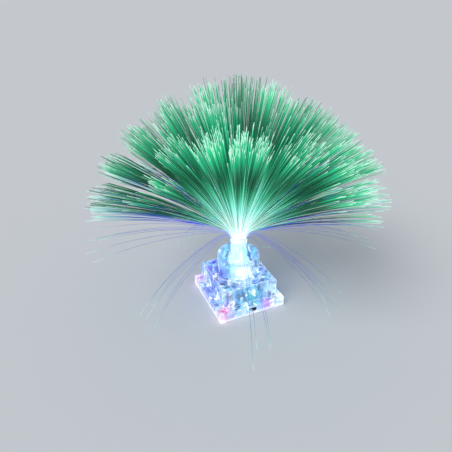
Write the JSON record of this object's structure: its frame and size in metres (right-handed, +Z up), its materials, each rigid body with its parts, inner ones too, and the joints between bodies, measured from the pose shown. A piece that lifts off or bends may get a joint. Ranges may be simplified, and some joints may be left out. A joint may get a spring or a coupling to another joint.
{
  "type": "fiber optic lamp",
  "caption": "Small battery table lamp: a clear stepped base with lights inside, and a spray of thin optical fibres that fans out above it in a dome.",
  "frame": {"origin": "middle of the base's flat underside, on the axis of the drum and the fibre bundle", "axes": "+Z up along the bundle; -Y is the front, with the slide switch; the battery door slides out towards +Y; the sides of the square base lie along X and Y"},
  "size_m": [0.1851, 0.1591, 0.1431],
  "materials": {
    "clear_polystyrene": "clear, glossy, injection moulded",
    "frosted_polystyrene": "milky clear, moulded",
    "white_abs": "satin, moulded",
    "nickelled_steel": "stamped strip, nickel plated",
    "green_laminate": "glass laminate under a lacquer",
    "led_epoxy_red": "clear tinted, cast",
    "led_epoxy_green": "clear tinted, cast",
    "led_epoxy_blue": "clear tinted, cast",
    "tinned_steel": "tin plated",
    "black_epoxy": "poured resin over the chip",
    "black_ceramic": "glazed chip",
    "black_nylon": "moulded, fine texture",
    "zinc_plated_steel": "bright zinc plated",
    "red_pvc": "extruded insulation",
    "black_pvc": "extruded insulation",
    "yellow_pvc": "extruded insulation",
    "natural_acetal": "waxy, turned",
    "clear_sleeve": "clear, extruded and cut",
    "acrylic_fibre": "drawn clear fibre, cut ends",
    "stainless_steel": "deep drawn can, satin"
  },
  "bodies": {
    "base": {"bottom_cover": "clear_polystyrene", "crystal_housing": "clear_polystyrene", "light_drum": "clear_polystyrene", "socket_tube": "frosted_polystyrene", "battery_cradle": "white_abs", "plate_contact": "nickelled_steel", "spring_contact": "nickelled_steel", "circuit_board": "green_laminate", "led_red": "led_epoxy_red", "led_green": "led_epoxy_green", "led_blue": "led_epoxy_blue", "led_legs": "tinned_steel", "driver_chip": "black_epoxy", "resistors": "black_ceramic", "switch_body": "tinned_steel", "switch_pins": "tinned_steel", "housing_screws": "zinc_plated_steel", "board_screws": "zinc_plated_steel", "lead_positive": "red_pvc", "lead_negative": "black_pvc", "lead_switch": "yellow_pvc", "button_cell_1": "stainless_steel", "button_cell_2": "stainless_steel", "button_cell_3": "stainless_steel"},
    "switch_knob": {"switch_knob": "black_nylon"},
    "battery_door": {"battery_door": "clear_polystyrene"},
    "swivel_collar": {"swivel_collar": "natural_acetal"},
    "fibre_spray": {"ferrule": "clear_sleeve", "fibre_core": "acrylic_fibre", "fibre_tier_1": "acrylic_fibre", "fibre_tier_2": "acrylic_fibre", "fibre_tier_3": "acrylic_fibre", "fibre_tier_4": "acrylic_fibre", "fibre_tier_5": "acrylic_fibre", "stray_fibres": "acrylic_fibre"}
  },
  "joints": [
    {"name": "switch_slide", "type": "slide", "parent": "base", "child": "switch_knob", "axis": [1, 0, 0], "range_m": [-0.002, 0]},
    {"name": "door_slide", "type": "slide", "parent": "base", "child": "battery_door", "axis": [0, 1, 0], "range_m": [0, 0.032]},
    {"name": "spray_swivel", "type": "hinge", "parent": "base", "child": "swivel_collar", "pos_m": [0, 0, 0.026], "axis": [0, 0, 1], "continuous": true},
    {"name": "spray_lift", "type": "slide", "parent": "swivel_collar", "child": "fibre_spray", "axis": [0, 0, 1], "range_m": [0, 0.015]}
  ]
}
